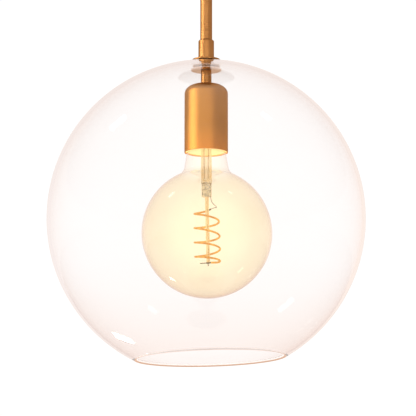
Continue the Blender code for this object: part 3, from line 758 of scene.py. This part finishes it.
def build_cap():
    """The bulb's screw cap with its insulator and contact, and the shell that it screws into."""
    radius, low, high = span("bulb_cap")
    wall = 0.0004
    skirt = low + 0.003
    shoulder = 0.0030
    profile = [(0.0070, high), (0.0098, high - 0.0014), (radius - 0.0005, high - shoulder),
               (radius - 0.0001, skirt), (radius - 0.0001, low),
               (radius - 0.0001 - wall, low), (radius - 0.0005 - wall, high - 0.0034),
               (0.0098, high - 0.0019), (0.0070, high - 0.0005)]
    profile = refine(soften(profile, 0.0003), 0.00035)
    thread = threaded(0.0115, radius + 0.001, CAP_PITCH, 0.0010, skirt, high - shoulder)
    dress(turned("fine_bulb_cap", profile, shape=thread), "bulb_cap")

    radius, low, high = span("screw_shell")
    profile = [(radius, high), (radius, low), (radius - wall, low), (radius - wall, high)]
    profile = refine(soften(profile, 0.0001), 0.0005)
    thread = threaded(0.012, 0.0145, CAP_PITCH, 0.0007, low + 0.002, high - 0.001)
    dress(turned("fine_screw_shell", profile, shape=thread), "screw_shell")

    radius, low, high = span("cap_insulator")
    profile = [(0.0, high), (0.0042, high), (radius, low + 0.0005), (radius, low), (0.0, low)]
    dress(turned("fine_cap_insulator", soften(profile, 0.0003, False), 64, False), "cap_insulator")

    radius, low, high = span("cap_contact")
    dome = arc(0.0, low, radius, high - low, 90.0, 0.0, 10)
    dress(turned("fine_cap_contact", [(0.0, high)] + dome[1:] + [(0.0, low)], 64, False),
          "cap_contact")


def build_mount():
    """The glass stem, a flared tube pressed flat at its end, and the support rod held in it."""
    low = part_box("mount_stem")[0].z
    flat = 0.55                         # the pinch's depth beside its width
    press_start, press_over = 0.0375, 0.0040
    pinch_start, pinch_over = 0.0370, 0.0025
    bore = [(0.0, at(0.0360)), (0.0026, at(0.0364)), (0.0038, at(0.0378)), (0.0043, at(0.0400)),
            (0.0043, at(0.0690)), (0.0050, at(0.0706)), (0.0062, at(0.0722)),
            (0.0082, at(0.0746)), (0.0100, at(0.0766))]
    outside = [(0.0110, at(0.0772)), (0.0112, at(0.0764)), (0.0090, at(0.0739)),
               (0.0072, at(0.0716)), (0.0060, at(0.0698)), (0.0053, at(0.0680)),
               (0.0053, at(0.0385)), (0.0050, at(0.0345)), (0.0047, at(0.0330)), (0.0047, low),
               (0.0, low)]
    profile = refine(soften(bore + outside, 0.0006, False), 0.0012, False)
    stem = turned("fine_mount_stem", profile, 48, False)
    for vertex in stem.data.vertices:
        pressed = eased((at(press_start) - vertex.co.z) / press_over)
        vertex.co.y *= 1.0 - (1.0 - flat) * pressed
    mark(stem, "pinch", lambda point: (at(pinch_start) - point.z) / pinch_over)
    leaned(dress(stem, "mount_stem"))

    rod_low, rod_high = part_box("support_rod")
    top = Vector((0.0006, 0.0, rod_high.z - 0.0002))
    bottom = Vector((0.0020, 0.0, rod_low.z + 0.0006))
    parts = 8
    points = [top.lerp(bottom, step / parts) for step in range(parts + 1)]
    rod = dress(tube("fine_support_rod", points, 0.0018, 20, 2), "support_rod")
    mark(rod, "rod", lambda point: 1.0)


COIL_RADIUS = 0.0116
COIL_LEAN = (0.0002, 0.0016)        # its middle's X at the top and at the bottom
COIL_HEIGHTS = (0.0092, 0.0046, -0.0029, -0.0092, -0.0171, -0.0232, -0.0295, -0.0370,
                -0.0411, -0.0409)   # at its start behind the rod, then at each side in turn
COIL_STOPS = (90.0, 180.0, 360.0, 540.0, 720.0, 900.0, 1080.0, 1260.0, 1440.0, 1514.0)


def coil_route():
    """Points along the spiral, whose turns are a little uneven and widest in the middle."""
    route = []
    for angle, height in smoothed(list(zip(COIL_STOPS, COIL_HEIGHTS)), 16):
        share = (angle - COIL_STOPS[0]) / (COIL_STOPS[-1] - COIL_STOPS[0])
        radius = COIL_RADIUS * (1.0 + 0.045 * math.sin(math.pi * min(1.0, share * 1.1) ** 1.6))
        middle = COIL_LEAN[0] + (COIL_LEAN[1] - COIL_LEAN[0]) * share
        turn = math.radians(angle)
        route.append((middle + radius * math.cos(turn), radius * math.sin(turn), at(height)))
    return route


def crimp(name, node, start, end):
    """A dark tube squeezed onto the spiral's end, thickest in its middle."""
    dress(tube(name, [start, end], 0.00105, 12, 1,
               lambda share: 0.75 + 0.25 * math.sin(math.pi * share)), node, CRIMP_STEEL)


def build_filament():
    """The spiral, its two crimps and the thin wires that reach them."""
    route = coil_route()
    dress(tube("fine_filament", route, 0.00095, 12, 1), "filament")

    crimp_from = Vector(route[0]) + Vector((0.0004, 0.0, 0.0002))
    crimp_to = crimp_from + Vector((0.0040, -0.0002, 0.0019))
    tail_to = crimp_to + Vector((0.0052, -0.0006, 0.0019))
    crimp("fine_clip_top", "filament_clip_top", crimp_from, crimp_to)
    foot = Vector((0.0042, 0.0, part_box("mount_stem")[0].z + 0.0008))
    lead = [foot, foot + Vector((0.0012, 0.0030, -0.0050)), tail_to,
            tail_to - Vector((0.0020, 0.0, 0.0008)), crimp_to]
    dress(tube("fine_lead_top", lead, 0.00028, 8), "lead_wire_top")

    crimp_from = Vector(route[-1]) + Vector((-0.0004, 0.0, 0.0))
    crimp_to = crimp_from + Vector((-0.0042, 0.0004, -0.0004))
    tail_to = crimp_to + Vector((-0.0060, -0.0006, -0.0005))
    crimp("fine_clip_bottom", "filament_clip_bottom", crimp_from, crimp_to)
    top = Vector((0.0007, 0.0, at(0.0200)))
    foot = Vector((0.0024, 0.0, at(-0.0434)))
    lead = [top, top.lerp(foot, 0.5), foot,
            foot.lerp(crimp_to, 0.5) + Vector((0.0, 0.0, -0.0006)), crimp_to, tail_to]
    dress(tube("fine_lead_bottom", lead, 0.00022, 8,
               taper=lambda share: 2.0 if share > 0.7 else 1.0), "lead_wire_bottom")


# ---------------------------------------------------------------- canopy and swivel

def pierced(piece, places, radius, low, high):
    """Drill upright round holes of this radius through a piece."""
    for place in places:
        cutter = turned("drill", [(0.0, high), (radius, high), (radius, low), (0.0, low)], 48,
                        False, place)
        hole = piece.modifiers.new("hole", 'BOOLEAN')
        hole.operation = 'DIFFERENCE'
        hole.solver = 'EXACT'
        hole.object = cutter
        bpy.context.view_layer.update()
        seen = piece.evaluated_get(bpy.context.evaluated_depsgraph_get())
        cut_mesh = bpy.data.meshes.new_from_object(seen)
        piece.modifiers.clear()
        piece.data = cut_mesh
        bpy.data.objects.remove(cutter)


def knurled(radius, height, angle):
    """A shape for turned(): forty fine grooves down the widest part of a nut."""
    widest, depth = 0.0052, 0.00018
    if radius < widest:
        return radius, height
    return radius - depth * (0.5 - 0.5 * math.cos(40.0 * angle)), height


def build_canopy():
    """The canopy's shell, drilled for its two studs, and the domed nuts on them."""
    radius, low, high = span("canopy_shell")
    wall = 0.001
    edge = 0.006                        # radius of its lower edge
    flange = 0.0595
    seat_hole = 0.0129
    profile = [(flange, high), (radius, high)]
    profile += arc(radius - edge, low + edge, edge, edge, 0.0, -90.0, 16)
    profile += [(seat_hole, low), (seat_hole, low + wall)]
    profile += arc(radius - edge, low + edge, edge - wall, edge - wall, -90.0, 0.0, 16)
    profile += [(radius - wall, high - wall), (flange, high - wall)]
    shell = turned("fine_canopy_shell", soften(profile, 0.0002), 160)
    places = {}
    for side in ("left", "right"):
        nut_low, nut_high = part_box("canopy_cap_nut_" + side)
        places[side] = ((nut_low.x + nut_high.x) / 2.0, 0.0)
    pierced(shell, places.values(), STUD_HOLE, low - 0.002, low + 0.004)
    shell.data.shade_smooth()
    shell.data.set_sharp_from_angle(angle=math.radians(SHARP_ANGLE))
    dress(shell, "canopy_shell")

    radius, low, high = span("canopy_cap_nut_left")
    bore_floor = high - 0.0068
    waist = high - 0.0055
    profile = [(0.0, bore_floor), (STUD_HOLE, bore_floor), (STUD_HOLE, high), (0.0048, high),
               (radius, high - 0.0005), (radius, high - 0.0050)]
    profile += arc(0.0, waist, 0.0050, waist - low, 0.0, -90.0, 12)
    profile = soften(profile, 0.0002, False)
    for side, place in places.items():
        name = "canopy_cap_nut_" + side
        dress(turned("fine_" + name, profile, 160, False, place, knurled), name)


def build_bulb():
    build_bulb_glass()
    build_cap()
    build_mount()
    build_filament()


build_globe()
build_stem()
build_cup()
build_bulb()
build_canopy()


# ---------------------------------------------------------------- the rest keeps its CAD shape

for node, cad in frame["nodes"].items():
    cad.data.materials.clear()
    cad.data.materials.append(LOOKS[SLOT_OF[node]])


# ---------------------------------------------------------------- lights, floor and camera

def lights_only(holder, slots):
    """Keep a lamp's light to the pieces of these material slots."""
    looks = [LOOKS[name] for name in slots]
    if "polished_brass" in slots:
        looks.append(CUP_BRASS)
    lit = bpy.data.collections.new(holder.name + "_on")
    for piece in bpy.data.objects:
        worn = [entry.material for entry in getattr(piece, "material_slots", [])]
        if any(look in worn for look in looks):
            lit.objects.link(piece)
    holder.light_linking.receiver_collection = lit


def lamp(name, place, target, width, height, power, slots, spread=180.0, colour=(1.0, 1.0, 1.0),
         mirrored=True):
    """An area lamp; place and target are measured from the globe's centre.

    mirrored tells whether clear glass shows the lamp itself as a bright mark.
    """
    data = bpy.data.lights.new(name, 'AREA')
    data.shape = 'RECTANGLE'
    data.size = width
    data.size_y = height
    data.energy = power
    data.color = colour
    data.spread = math.radians(spread)
    data.cycles.use_multiple_importance_sampling = mirrored
    holder = bpy.data.objects.new(name, data)
    bpy.context.scene.collection.objects.link(holder)
    middle = Vector((0.0, 0.0, GLOBE_CENTRE))
    holder.location = middle + Vector(place)
    holder.rotation_euler = (Vector(place) - Vector(target)).to_track_quat('Z', 'Y').to_euler()
    lights_only(holder, slots)


def build_lights():
    """Two broad lamps for the brass, and three small ones whose marks show in the glass."""
    brass = ("polished_brass", "contact_brass", "zinc_steel")
    glass = ("globe_glass", "bulb_glass")
    lamp("window", (-1.72, -0.46, 0.40), (0.0, 0.0, 0.0), 1.4, 1.6, 27.0, brass,
         colour=(1.0, 0.96, 0.86), mirrored=False)
    lamp("front_fill", (-0.12, -1.79, 0.30), (0.0, 0.0, 0.0), 2.9, 1.6, 12.5, brass,
         colour=(1.0, 0.93, 0.78), mirrored=False)
    lamp("upper_left", (-1.43, 0.24, 1.62), (-0.08, -0.09, 0.09), 0.20, 0.34, 0.55, glass)
    lamp("upper_right", (1.10, -0.30, 1.85), (0.06, -0.11, 0.10), 0.14, 0.22, 0.25, glass)
    lamp("below_left", (-0.30, 0.315, -0.386), (-0.078, -0.046, -0.1225), 0.035, 0.10, 0.012,
         glass, spread=16.0, colour=(1.0, 0.93, 0.74))


def build_world():
    """A white room; what shines in glass and metal is its warm, uneven walls."""
    world = bpy.data.worlds.new("white_room")
    world.use_nodes = True
    world.cycles.sampling_method = 'NONE'
    bpy.context.scene.world = world
    nodes = Nodes(world.node_tree)
    back = nodes.tree.nodes["Background"]
    way = nodes.add("ShaderNodeSeparateXYZ")
    nodes.join(nodes.add("ShaderNodeTexCoord").outputs["Generated"], way.inputs[0])
    bounce = nodes.add("ShaderNodeLightPath").outputs["Glossy Depth"]

    def step(source, low, high):
        return nodes.spread(source, low, high, kind='SMOOTHSTEP')

    behind = nodes.blend(step(way.outputs["X"], -0.5, 0.5), (0.95, 0.87, 0.85), (1.0, 0.87, 0.80))
    above = nodes.blend(step(way.outputs["Z"], 0.10, 0.55), behind, (0.90, 0.80, 0.76))
    walls = nodes.blend(step(way.outputs["Z"], -0.10, -0.55), above, (0.97, 0.84, 0.77))
    white = (1.045, 1.045, 1.045)
    nodes.join(nodes.blend(step(bounce, 0.25, 0.75), white, walls), back.inputs["Color"])
    back.inputs["Strength"].default_value = 1.0


def build_floor():
    """A pale floor far below."""
    look = Look("floor", (0.90, 0.86, 0.85), 0.8)
    speckle = look.noise(3.0)
    look.feed(look.mottled(speckle, (0.86, 0.81, 0.80), (0.92, 0.88, 0.87), 0.3, 0.7),
              "Base Color")
    reach = 60.0
    corners = [(-reach, -reach, FLOOR_Z), (reach, -reach, FLOOR_Z),
               (reach, reach, FLOOR_Z), (-reach, reach, FLOOR_Z)]
    floor = new_piece("floor", corners, [[0, 1, 2, 3]])
    floor.data.materials.append(look.material)
    floor.visible_glossy = False


def build_camera():
    """A long lens, a little below the globe and looking up at it."""
    data = bpy.data.cameras.new("camera")
    data.sensor_width = 36.0
    data.lens = 194.4
    data.clip_start = 0.05
    data.clip_end = 200.0
    holder = bpy.data.objects.new("camera", data)
    bpy.context.scene.collection.objects.link(holder)
    drop = math.radians(10.0)           # how far below the globe's centre it stands, as an angle
    distance = 2.15
    holder.location = (0.0, -distance * math.cos(drop), GLOBE_CENTRE - distance * math.sin(drop))
    tilt, turn = math.radians(90.0 + 10.27), math.radians(-0.0466)
    holder.rotation_euler = (tilt, 0.0, turn)
    bpy.context.scene.camera = holder


build_lights()
build_world()
build_floor()
build_camera()
scene = bpy.context.scene
scene.view_settings.view_transform = 'Standard'
scene.cycles.max_bounces = 32
scene.cycles.glossy_bounces = 16
scene.cycles.transmission_bounces = 24
